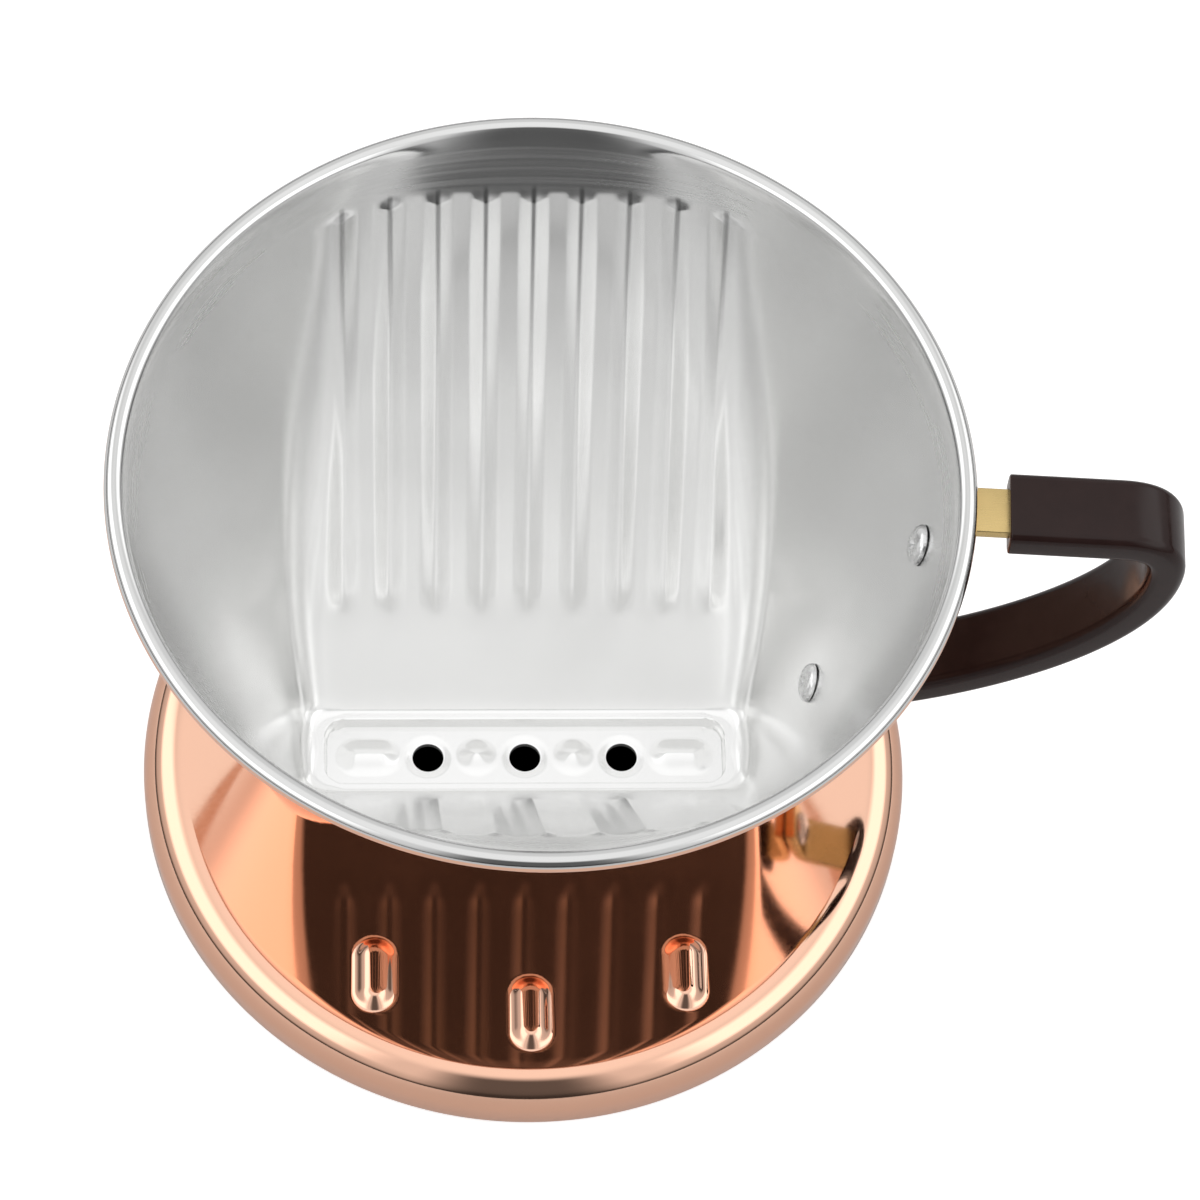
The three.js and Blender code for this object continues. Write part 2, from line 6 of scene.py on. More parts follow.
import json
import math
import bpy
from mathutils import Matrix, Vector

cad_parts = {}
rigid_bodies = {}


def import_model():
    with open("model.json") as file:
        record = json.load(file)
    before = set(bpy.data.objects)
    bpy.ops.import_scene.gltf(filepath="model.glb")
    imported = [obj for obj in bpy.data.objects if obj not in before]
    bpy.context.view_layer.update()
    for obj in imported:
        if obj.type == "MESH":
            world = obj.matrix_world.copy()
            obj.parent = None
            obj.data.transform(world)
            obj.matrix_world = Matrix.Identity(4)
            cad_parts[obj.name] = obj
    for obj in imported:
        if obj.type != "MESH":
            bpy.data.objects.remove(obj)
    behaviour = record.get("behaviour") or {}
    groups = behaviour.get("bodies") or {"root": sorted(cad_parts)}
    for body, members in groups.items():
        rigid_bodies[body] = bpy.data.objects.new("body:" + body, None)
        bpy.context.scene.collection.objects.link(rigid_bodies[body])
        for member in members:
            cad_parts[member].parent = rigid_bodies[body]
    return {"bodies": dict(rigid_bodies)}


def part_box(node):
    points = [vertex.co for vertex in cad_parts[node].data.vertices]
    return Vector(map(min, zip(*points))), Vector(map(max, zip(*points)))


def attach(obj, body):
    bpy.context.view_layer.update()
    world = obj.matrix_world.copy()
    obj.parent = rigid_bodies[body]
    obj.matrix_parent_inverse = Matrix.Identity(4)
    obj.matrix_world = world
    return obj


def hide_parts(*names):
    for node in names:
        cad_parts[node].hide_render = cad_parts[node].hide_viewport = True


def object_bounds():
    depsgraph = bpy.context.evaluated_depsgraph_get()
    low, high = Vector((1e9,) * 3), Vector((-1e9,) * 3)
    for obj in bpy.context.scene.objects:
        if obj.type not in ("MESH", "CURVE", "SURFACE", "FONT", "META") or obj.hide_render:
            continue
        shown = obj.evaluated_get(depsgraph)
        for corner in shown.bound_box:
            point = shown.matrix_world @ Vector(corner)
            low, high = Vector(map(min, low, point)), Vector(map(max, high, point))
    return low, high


bl_info = {
    "name": "Copper wedge dripper",
    "version": (1, 0, 0),
    "blender": (4, 5, 0),
    "location": "3D View > Sidebar > Dripper",
    "description": "Builds a tin-lined copper pour-over dripper with its finishes, studio and camera",
    "category": "Add Mesh",
}

import bpy
import bmesh
import numpy as np
from bpy.props import FloatProperty, FloatVectorProperty, IntProperty, PointerProperty
from mathutils import Matrix, Vector

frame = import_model()
CAD_LOW, CAD_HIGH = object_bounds()
CUP_LOW, CUP_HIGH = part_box("cup")
DISH_LOW, DISH_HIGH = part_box("base_plate")
BODY = next(iter(frame["bodies"]))
SHARP_ANGLE = 40.0      # degrees; edges that fold more than this stay sharp
CUTTER_REACH = 0.004    # how far a drill reaches to each side of a sheet
RIVET_BORE = 0.00155    # radius of a hole that a rivet passes through


# ---------- settings ----------

def length(name, description, default):
    """A length that a user may change, in metres."""
    return FloatProperty(name=name, description=description, default=default, min=0.0, unit="LENGTH",
                         subtype="DISTANCE", precision=5)


def colour(name, description, default):
    """A linear colour that a user may change."""
    return FloatVectorProperty(name=name, description=description, default=default, min=0.0, max=1.0,
                               size=3, subtype="COLOR")


def angle(name, description, degrees):
    """An angle that a user may change, given here in degrees."""
    return FloatProperty(name=name, description=description, default=math.radians(degrees),
                         unit="ROTATION", subtype="ANGLE")


class DRIPPER_PG_cup(bpy.types.PropertyGroup):
    """Sizes and colours of the cup."""

    rim_radius: length("Rim radius", "Axis to the outside of the rolled rim", CUP_HIGH.y)
    height: length("Height", "Resting plane to the top of the rim", CUP_HIGH.z)
    wall: length("Wall", "Sheet thickness", 0.0008)
    bead: length("Bead", "Diameter of the rolled rim", 0.0028)
    ledge_height: length("Ledge height", "Inside floor beside the sump", 0.0073)
    floor_radius: length("Floor radius", "Inside radius of the round ends at the ledge", 0.0336)
    floor_half: length("Floor half width", "Axis to a flat face at the ledge", 0.0069)
    face_slope: FloatProperty(name="Face slope", description="Outward run of a flat face over its rise",
                              default=0.6, min=0.0)
    rib_count: IntProperty(name="Ribs", description="Ribs on each flat face", default=9, min=1)
    rib_pitch: length("Rib pitch", "Middle of one rib to the next", 0.0068)
    rib_width: length("Rib width", "Width of a rib at its foot", 0.0048)
    rib_depth: length("Rib depth", "How far a rib stands into the cup", 0.00068)
    rib_bottom: length("Rib bottom", "Height of the ribs' lower ends", 0.021)
    rib_top: length("Rib top", "Height of the ribs' upper ends", 0.0815)
    sump_length: length("Sump length", "Length of the sunk floor", 0.0604)
    sump_width: length("Sump width", "Width of the sunk floor", 0.0108)
    sump_depth: length("Sump depth", "Ledge to the sunk floor", 0.0021)
    hole_pitch: length("Hole pitch", "Middle of one drip hole to the next", 0.0146)
    hole_diameter: length("Hole diameter", "Diameter of a drip hole", 0.0047)
    dome_height: length("Dome height", "Height of the pressed domes in the sump", 0.0012)
    tin: colour("Tin", "Colour of the lining", (0.795, 0.795, 0.79))
    copper: colour("Copper", "Colour of the outside", (0.90, 0.54, 0.39))


class DRIPPER_PG_dish(bpy.types.PropertyGroup):
    """Sizes of the base dish."""

    radius: length("Radius", "Axis to the outside of the dish", DISH_HIGH.y)
    sheet: length("Sheet", "Sheet thickness", 0.0008)
    edge: length("Edge radius", "Rounding from the flat top into the skirt", 0.006)
    hem: length("Hem", "Width of the turned-in edge", 0.0018)
    vent_height: length("Vent height", "Height of a vent bump", 0.0018)
    vent_length: length("Vent length", "Length of a vent bump", 0.0124)
    vent_width: length("Vent width", "Width of a vent bump", 0.0068)
    vent_middle: length("Vent middle", "Axis to the middle of a vent bump", 0.0440)
    vent_spread: angle("Vent spread", "Angle between neighbouring vent bumps", 31)


class DRIPPER_PG_handle(bpy.types.PropertyGroup):
    """Sizes and colours of the handle, its brackets and fasteners."""

    turn: angle("Turn", "The handle's plane, turned about Z from the line of drip holes", -3.5)
    width: length("Width", "Width of the grip", 0.0108)
    thickness: length("Thickness", "Thickness of the grip", 0.0052)
    edge: length("Edge", "Rounding of the grip's long edges", 0.0015)
    strip_width: length("Strip width", "Width of the brass strip", 0.007)
    strip: length("Strip thickness", "Thickness of the brass strip", 0.0016)
    resin: colour("Resin", "Colour of the grip", (0.019, 0.0088, 0.0078))
    brass: colour("Brass", "Colour of the brackets", (0.70, 0.52, 0.23))
    steel: colour("Steel", "Colour of the rivets and screws", (0.72, 0.72, 0.72))


class DRIPPER_PG_studio(bpy.types.PropertyGroup):
    """The floor, the light and the camera."""

    light: FloatProperty(name="Light", description="Brightness of the soft boxes", default=0.93, min=0.0)
    azimuth: angle("Azimuth", "The camera's turn about Z from looking along +Y", -5.875)
    elevation: angle("Elevation", "The camera's height angle", 60.6)
    roll: angle("Roll", "The camera's roll", 5.08)
    distance: length("Distance", "Aim point to the camera", 0.699)
    lens: FloatProperty(name="Lens", description="Focal length in millimetres", default=135.0, min=1.0)


# ---------- mesh helpers ----------

def smooth_step(low, high, value):
    """0 below low, 1 above high and an even S curve between."""
    t = np.clip((value - low) / (high - low), 0.0, 1.0)
    return t * t * (3.0 - 2.0 * t)


def make_piece(name, points, faces, materials, indices=None, sharp=SHARP_ANGLE):
    """A closed, smooth-shaded mesh object with its materials, in place in the frame."""
    mesh = bpy.data.meshes.new(name)
    mesh.from_pydata([tuple(p) for p in points], [], faces)
    for material in materials:
        mesh.materials.append(material)
    if indices is not None:
        mesh.polygons.foreach_set("material_index", indices)
    piece = bpy.data.objects.new(name, mesh)
    bpy.context.scene.collection.objects.link(piece)
    work = bmesh.new()
    work.from_mesh(mesh)
    bmesh.ops.remove_doubles(work, verts=work.verts, dist=1e-7)
    bmesh.ops.dissolve_degenerate(work, edges=work.edges, dist=1e-8)
    bmesh.ops.recalc_face_normals(work, faces=work.faces)
    work.to_mesh(mesh)
    work.free()
    shade_piece(piece, sharp)
    return piece


def shade_piece(piece, sharp):
    """Shades all but the sharp edges smooth."""
    piece.data.shade_smooth()
    piece.data.set_sharp_from_angle(angle=math.radians(sharp))


def cut_piece(piece, cutters):
    """Cuts closed cutters out of a closed piece and removes them."""
    for cutter in cutters:
        step = piece.modifiers.new("cut", "BOOLEAN")
        step.operation = "DIFFERENCE"
        step.solver = "MANIFOLD"
        step.object = cutter
    bpy.context.view_layer.update()
    shape = bpy.data.meshes.new_from_object(piece.evaluated_get(bpy.context.evaluated_depsgraph_get()))
    piece.modifiers.clear()
    old = piece.data
    piece.data = shape
    shape.name = old.name
    bpy.data.meshes.remove(old)
    for cutter in cutters:
        bpy.data.objects.remove(cutter)
    shade_piece(piece, SHARP_ANGLE)


def turned(name, profile, matrix, materials, segments, sharp=SHARP_ANGLE):
    """A closed solid turned about its own Z from (radius, height) pairs, from axis to axis."""
    turns = np.linspace(0.0, 2.0 * math.pi, segments, endpoint=False)
    rings = []
    for radius, z in profile:
        rings.append(np.stack([radius * np.cos(turns), radius * np.sin(turns), np.full(segments, z)], -1))
    points, faces = skin(rings)
    piece = make_piece(name, points, faces, materials, sharp=sharp)
    piece.data.transform(matrix)
    return piece


def drill(radius, reach, matrix, material):
    """A fine cylinder along its own Z, for cutting."""
    profile = [(0.0, -reach), (radius, -reach), (radius, reach), (0.0, reach)]
    return turned("drill", profile, matrix, [material], 48)


def block(name, sizes, matrix, material):
    """A closed cutter with square corners."""
    work = bmesh.new()
    bmesh.ops.create_cube(work, size=1.0)
    mesh = bpy.data.meshes.new(name)
    work.to_mesh(mesh)
    work.free()
    mesh.materials.append(material)
    mesh.transform(matrix @ Matrix.Diagonal((*sizes, 1.0)))
    piece = bpy.data.objects.new(name, mesh)
    bpy.context.scene.collection.objects.link(piece)
    return piece


def skin(rings, closed=False):
    """Points and quads through rings of equal count. closed joins the last ring to the first."""
    count = len(rings[0])
    points = np.concatenate(rings)
    column = np.arange(count)
    after = (column + 1) % count
    faces = []
    for row in range(len(rings) if closed else len(rings) - 1):
        here = row * count
        there = (row + 1) % len(rings) * count
        faces.append(np.stack([here + column, here + after, there + after, there + column], -1))
    return points, np.concatenate(faces).tolist()


def finish_piece(piece, slot, *nodes):
    """Rides on the body and stands for its CAD nodes; its slot argument is not used."""
    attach(piece, BODY)
    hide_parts(*nodes)


# ---------- finishes ----------

class Nodes:
    """A node tree, with short ways to add nodes to it."""

    def __init__(self, tree, place):
        self.nodes = tree.nodes
        self.links = tree.links
        self.place = self.nodes.new("ShaderNodeTexCoord").outputs[place]

    def math(self, operation, *values):
        """One sum of numbers or sockets."""
        node = self.nodes.new("ShaderNodeMath")
        node.operation = operation
        for socket, value in zip(node.inputs, values):
            if isinstance(value, (int, float)):
                socket.default_value = value
            else:
                self.links.new(value, socket)
        return node.outputs["Value"]

    def product(self, first, *others):
        """Numbers or sockets multiplied together, from the left."""
        for other in others:
            first = self.math("MULTIPLY", first, other)
        return first

    def spread(self, value, low, high, start=0.3, end=0.7):
        """Low up to start, high from end and an even S curve between. The defaults suit a noise."""
        node = self.nodes.new("ShaderNodeMapRange")
        node.interpolation_type = "SMOOTHSTEP"
        for key, number in (("From Min", start), ("From Max", end), ("To Min", low), ("To Max", high)):
            node.inputs[key].default_value = number
        self.links.new(value, node.inputs["Value"])
        return node.outputs["Result"]

    def axes(self):
        """X, Y and Z of the place."""
        split = self.nodes.new("ShaderNodeSeparateXYZ")
        self.links.new(self.place, split.inputs["Vector"])
        return split.outputs


class Finish(Nodes):
    """A Principled material and the nodes that vary it."""

    def __init__(self, name, base, metallic, roughness, **sockets):
        self.material = bpy.data.materials.new(name)
        self.material.use_nodes = True
        super().__init__(self.material.node_tree, "Object")
        self.base = tuple(base)
        self.normal = None
        self.shader = self.nodes["Principled BSDF"]
        self.shader.inputs["Base Color"].default_value = (*self.base, 1.0)
        self.shader.inputs["Metallic"].default_value = metallic
        self.shader.inputs["Roughness"].default_value = roughness
        for key, value in sockets.items():
            self.shader.inputs[key.replace("_", " ")].default_value = value

    def noise(self, scale, detail=4.0, roughness=0.5):
        """A noise from 0 to 1, with a scale for each axis in cycles per metre."""
        mapping = self.nodes.new("ShaderNodeMapping")
        mapping.inputs["Scale"].default_value = scale if hasattr(scale, "__len__") else (scale,) * 3
        texture = self.nodes.new("ShaderNodeTexNoise")
        texture.inputs["Scale"].default_value = 1.0
        texture.inputs["Detail"].default_value = detail
        texture.inputs["Roughness"].default_value = roughness
        self.links.new(self.place, mapping.inputs["Vector"])
        self.links.new(mapping.outputs["Vector"], texture.inputs["Vector"])
        return texture.outputs["Fac"]

    def mix(self, factor, blend):
        """A mix of two colours that becomes the base colour."""
        node = self.nodes.new("ShaderNodeMix")
        node.data_type = "RGBA"
        node.blend_type = blend
        self.links.new(factor, node.inputs["Factor"])
        self.links.new(node.outputs["Result"], self.shader.inputs["Base Color"])
        return node

    def tint(self, factor, first, second):
        """Mixes two shades of the base colour, given as multiples of it."""
        node = self.mix(factor, "MIX")
        for key, share in (("A", first), ("B", second)):
            node.inputs[key].default_value = (*(min(1.0, c * share) for c in self.base), 1.0)

    def shade(self, factor, dark):
        """Darkens the base colour where a mask is 1."""
        old = self.shader.inputs["Base Color"].links[0].from_socket
        node = self.mix(factor, "MULTIPLY")
        node.inputs["B"].default_value = (dark, dark, dark, 1.0)
        self.links.new(old, node.inputs["A"])

    def rough(self, value):
        """Drives the roughness."""
        self.links.new(value, self.shader.inputs["Roughness"])

    def bump(self, height, distance):
        """Adds a bump of a height in metres on top of the bumps before it."""
        node = self.nodes.new("ShaderNodeBump")
        node.inputs["Strength"].default_value = 1.0
        node.inputs["Distance"].default_value = distance
        self.links.new(height, node.inputs["Height"])
        if self.normal is not None:
            self.links.new(self.normal, node.inputs["Normal"])
        self.normal = node.outputs["Normal"]
        self.links.new(self.normal, self.shader.inputs["Normal"])


def tin_lining(settings):
    """Spun tin: dull bright metal, finely lined towards the rim, with painted light and shade that makes
    it lighter at the floor and greyer towards the rim, and painted shade along the upper rib crests.
    """
    finish = Finish("tin_lining", settings.tin, 1.0, 0.24)
    lines = finish.noise((12.0, 12.0, 2600.0), 2.0)
    clouds = finish.noise(45.0, 3.0)
    x, y, z = finish.axes()
    # Painted light and shade: the lining is painted lighter at the floor and darker towards the rim.
    painted_height_shade = finish.spread(z, 0.0, 1.0, settings.ledge_height, settings.height)
    finish.tint(finish.math("ADD", painted_height_shade, finish.spread(clouds, -0.08, 0.08)), 1.13, 0.86)

    ribs = finish.math("DIVIDE", x, settings.rib_pitch)
    offset = finish.math("ABSOLUTE", finish.math("SUBTRACT", ribs, finish.math("ROUND", ribs)))
    reach = (settings.rib_count - 1) / 2.0 * settings.rib_pitch
    # Painted shade: the upper rib crests on the back face are painted darker here.
    crest = finish.product(finish.spread(offset, 1.0, 0.0, 0.015, 0.085),
                           finish.spread(z, 0.0, 1.0, 0.056, 0.083),
                           finish.spread(y, 0.0, 1.0, 0.0, 0.001),
                           finish.spread(z, 1.0, 0.0, 0.0812, 0.0822),
                           finish.spread(finish.math("ABSOLUTE", x), 1.0, 0.0, reach, reach + 0.002))
    finish.shade(crest, 0.5)

    spun = finish.product(finish.spread(lines, -0.03, 0.05), finish.spread(z, 0.0, 1.0, 0.0800, 0.0830))
    satin = finish.math("ADD", finish.spread(clouds, 0.21, 0.25), spun)
    polished = finish.spread(z, 1.0, 0.45, settings.height - settings.bead,
                             settings.height - 0.6 * settings.bead)
    finish.rough(finish.product(satin, polished))
    finish.bump(finish.noise(90.0, 1.0), 0.000008)
    return finish.material


def polished_copper(name, settings):
    """Mirror-polished copper with faint polishing marks and a slight waviness."""
    finish = Finish(name, settings.copper, 1.0, 0.05)
    clouds = finish.noise(40.0)
    marks = finish.noise((900.0, 5000.0, 900.0), 4.0, 0.7)
    finish.tint(clouds, 0.96, 1.0)
    finish.rough(finish.math("ADD", finish.spread(clouds, 0.03, 0.06), finish.spread(marks, 0.0, 0.03)))
    finish.bump(finish.noise(70.0, 1.0), 0.00001)
    return finish.material


def handle_resin(settings):
    """Moulded dark brown resin with a soft gloss and a faint mottle."""
    finish = Finish("handle_resin", settings.resin, 0.0, 0.2, Specular_IOR_Level=0.22)
    mottle = finish.noise(300.0, 5.0, 0.6)
    finish.tint(mottle, 0.8, 1.3)
    finish.rough(finish.spread(mottle, 0.14, 0.24))
    finish.bump(finish.noise(220.0, 2.0), 0.000012)
    return finish.material


def bracket_brass(settings):
    """Satin brass strip with drawn lines along it."""
    finish = Finish("bracket_brass", settings.brass, 1.0, 0.25)
    lines = finish.noise((150.0, 9000.0, 150.0), 3.0)
    clouds = finish.noise(250.0, 3.0)
    finish.tint(clouds, 0.82, 1.05)
    finish.rough(finish.math("ADD", finish.spread(clouds, 0.18, 0.3), finish.spread(lines, 0.0, 0.08)))
    finish.bump(lines, 0.000006)
    return finish.material


def hammered_steel(name, settings):
    """Bright plated metal, dented where it was closed."""
    finish = Finish(name, settings.steel, 1.0, 0.2)
    dents = finish.noise(900.0, 3.0, 0.6)
    finish.tint(dents, 0.8, 1.1)
    finish.rough(finish.spread(dents, 0.14, 0.3))
    finish.bump(dents, 0.00012)
    return finish.material


# ---------- the cup's shape ----------

class Columns:
    """Lines from the cup's middle line outwards. Every ring has one point on each, in the same order."""

    def __init__(self, reach, per_face, per_end):
        across = np.linspace(reach, -reach, per_face)
        round_left = np.radians(np.linspace(90.0, 270.0, per_end + 2)[1:-1])
        round_right = np.radians(np.linspace(-90.0, 90.0, per_end + 2)[1:-1])
        zero = np.zeros(per_face)
        self.x = np.concatenate([across, np.full(per_end, -reach), across[::-1], np.full(per_end, reach)])
        self.dx = np.concatenate([zero, np.cos(round_left), zero, np.cos(round_right)])
        self.dy = np.concatenate([zero + 1.0, np.sin(round_left), zero - 1.0, np.sin(round_right)])

    def at(self, far, z):
        """Points at a distance along each line, at heights z."""
        far = np.broadcast_to(far, self.x.shape)
        z = np.broadcast_to(z, self.x.shape)
        return np.stack([self.x + far * self.dx, far * self.dy, z], -1)

    def reach(self, section):
        """Distance along each line to where a section(x, y) turns positive."""
        low = np.zeros_like(self.x)
        high = np.full_like(self.x, 0.15)
        for _ in range(36):
            middle = (low + high) / 2.0
            inside = section(self.x + middle * self.dx, middle * self.dy) < 0.0
            low = np.where(inside, middle, low)
            high = np.where(inside, high, middle)
        return (low + high) / 2.0

    def ring(self, section, z):
        """The ring where a section ends, at a height."""
        return self.at(self.reach(section), z)


def circle(radius):
    """A round section."""
    return lambda x, y: np.hypot(x, y) - radius


def rounded_rectangle(half_length, half_width, corner, x, y):
    """Signed distance to a rectangle with round corners."""
    dx = np.abs(x) - half_length + corner
    dy = np.abs(y) - half_width + corner
    inside = np.minimum(np.maximum(dx, dy), 0.0)
    return inside + np.hypot(np.maximum(dx, 0.0), np.maximum(dy, 0.0)) - corner


def capsule(x, y, half, along):
    """Distance to a short line of a half length, along X or Y."""
    if along == "X":
        return np.hypot(np.maximum(np.abs(x) - half, 0.0), y)
    return np.hypot(x, np.maximum(np.abs(y) - half, 0.0))


class CupShape:
    """The cup's surfaces as formulas of height and place."""

    blend_low = 0.0030      # rounding between a flat face and a round end inside, at the floor
    blend_high = 0.0055     # the same at the rim
    crisp = 0.55            # how much tighter that rounding is outside
    flare_start = 0.0812    # the flat faces turn out from here, to meet the round rim
    rib_run_out = 0.0014
    rib_fade = 0.0050       # the ribs' lower ends run out more slowly
    outside_ribs = 0.60     # how much of the ribs shows in the polished outside
    sump_corner = 0.0030
    sump_wall = 0.0004      # plan width of the slope into the sump
    dome_width = 0.0064
    end_dome_length = 0.0100
    crease = 0.0005         # fillet between a flat face and the ledge
    end_crease = 0.0026     # the same at the round ends
    hole_lip = 0.00028      # how far the sheet dips at a drip hole

    def __init__(self, settings):
        self.s = settings
        self.bead_radius = settings.bead / 2.0
        self.bead_height = settings.height - self.bead_radius
        self.bead_middle = settings.rim_radius - self.bead_radius
        self.wall_top = self.bead_height + 0.5 * self.bead_radius
        top_radius = settings.rim_radius - settings.bead
        rise = self.bead_height - settings.ledge_height
        self.cone_slope = (top_radius - settings.floor_radius) / rise
        self.rib_span = (settings.rib_count - 1) / 2.0 * settings.rib_pitch
        self.cone_wall = settings.wall / math.cos(math.atan(self.cone_slope))
        self.face_wall = settings.wall / math.cos(math.atan(settings.face_slope))
        self.sump_floor = settings.ledge_height - settings.sump_depth
        self.hole_places = (-settings.hole_pitch, 0.0, settings.hole_pitch)

    def cone_radius(self, z):
        """Inside radius of the round ends."""
        return self.s.floor_radius + self.cone_slope * (z - self.s.ledge_height)

    def face_half(self, z):
        """Axis to the inside of a flat face."""
        return self.s.floor_half + self.s.face_slope * (z - self.s.ledge_height)

    def wall_out(self, z):
        """Outside radius of the round ends."""
        return self.cone_radius(z) + self.cone_wall

    def rib_push(self, x, z):
        """How far the ribs push the sheet inwards. A rib is a low tent with a narrow crest."""
        s = self.s
        offset = np.abs(x - s.rib_pitch * np.round(x / s.rib_pitch)) / (s.rib_width / 2.0)
        rounding = 0.08
        crest = np.clip(1.0 - np.hypot(offset, rounding), 0.0, 1.0) ** 1.25 / (1.0 - rounding) ** 1.25
        across = np.where(np.abs(x) > self.rib_span + s.rib_width / 2.0, 0.0, crest)
        along = smooth_step(s.rib_bottom, s.rib_bottom + self.rib_fade, z)
        along = along * (1.0 - smooth_step(s.rib_top - self.rib_run_out, s.rib_top, z))
        return s.rib_depth * across * along

    def section(self, z, outside=False, grow=0.0):
        """The wall's inside or outside at a height: a round section cut by two flat faces."""
        radius = self.cone_radius(z) + grow + (self.cone_wall if outside else 0.0)
        half = self.face_half(z) + grow + (self.face_wall if outside else 0.0)
        share = np.clip((z - self.s.ledge_height) / (self.s.height - self.s.ledge_height), 0.0, 1.0)
        blend = self.blend_low + (self.blend_high - self.blend_low) * share
        if outside:
            blend = blend * self.crisp
        flare = np.clip((z - self.flare_start) / (self.wall_top - self.flare_start), 0.0, 1.0) ** 1.2
        ribs = self.outside_ribs if outside else 1.0

        def distance(x, y):
            over_round = np.hypot(x, y) - radius
            over_flat = np.abs(y) - half
            base = np.minimum(np.maximum(over_round, over_flat), -blend)
            corner = np.hypot(np.maximum(over_round + blend, 0.0), np.maximum(over_flat + blend, 0.0))
            return (base + corner) * (1.0 - flare) + over_round * flare + ribs * self.rib_push(x, z)

        return distance

    def floor_height(self, x, y, outside=False):
        """Height of the floor: the ledge, the sump and what is pressed into it."""
        s = self.s
        grow = s.wall if outside else 0.0
        edge = rounded_rectangle(s.sump_length / 2.0 + grow, s.sump_width / 2.0 + grow,
                                 self.sump_corner + grow, x, y)
        z = s.ledge_height - s.sump_depth * smooth_step(0.0, self.sump_wall, -edge)
        for hole in self.hole_places:
            away = np.hypot(x - hole, y)
            lip = smooth_step(s.hole_diameter * 0.78, s.hole_diameter * 0.5, away)
            z = z - self.hole_lip * lip
        for middle in (-s.hole_pitch / 2.0, s.hole_pitch / 2.0):
            z = z + self.dome(np.hypot(x - middle, y))
        last_hole = s.hole_pitch + s.hole_diameter / 2.0
        end = (last_hole + s.sump_length / 2.0) / 2.0
        half = (self.end_dome_length - self.dome_width) / 2.0
        for middle in (-end, end):
            z = z + self.dome(capsule(x - middle, y, half, "X"))
        return z - grow

    def dome(self, away):
        """A pressed dome with a rather narrow crown."""
        rise = np.clip(1.0 - away / (self.dome_width / 2.0), 0.0, 1.0)
        return self.s.dome_height * (0.55 * rise * rise * (3.0 - 2.0 * rise) + 0.45 * rise ** 1.3)

    def wall_heights(self, low, high):
        """Heights for rings: close together where the ribs end."""
        s = self.s
        plain = np.arange(low, high, 0.0011)
        fine = [np.arange(s.rib_bottom - 0.0006, s.rib_bottom + self.rib_run_out + 0.0006, 0.0004),
                np.arange(s.rib_top - self.rib_run_out - 0.0006, s.rib_top + 0.0006, 0.0004)]
        heights = np.unique(np.round(np.concatenate([plain, *fine, [low, high]]), 6))
        return heights[(heights >= low) & (heights <= high)]


def cup_columns(shape):
    """Columns that pass through the ribs' middles."""
    return Columns(shape.rib_span, int(shape.s.rib_count - 1) * 24 + 1, 90)


def handle_turn(settings):
    """The matrix that turns the handle's plane into place."""
    return Matrix.Rotation(settings.turn, 4, "Z")


def wall_frame(shape, z):
    """In the handle's plane: a frame on the cup's outer wall whose +Z points square out of it."""
    lean = Matrix.Rotation(math.pi / 2.0 + math.atan(shape.cone_slope), 4, "Y")
    return Matrix.Translation((shape.wall_out(z), 0.0, z)) @ lean


def rivet_heights():
    """Heights of the two rivets, from the middles of their CAD solids."""
    heights = []
    for node in ("upper_rivet", "lower_rivet"):
        low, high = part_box(node)
        heights.append((low.z + high.z) / 2.0)
    return heights


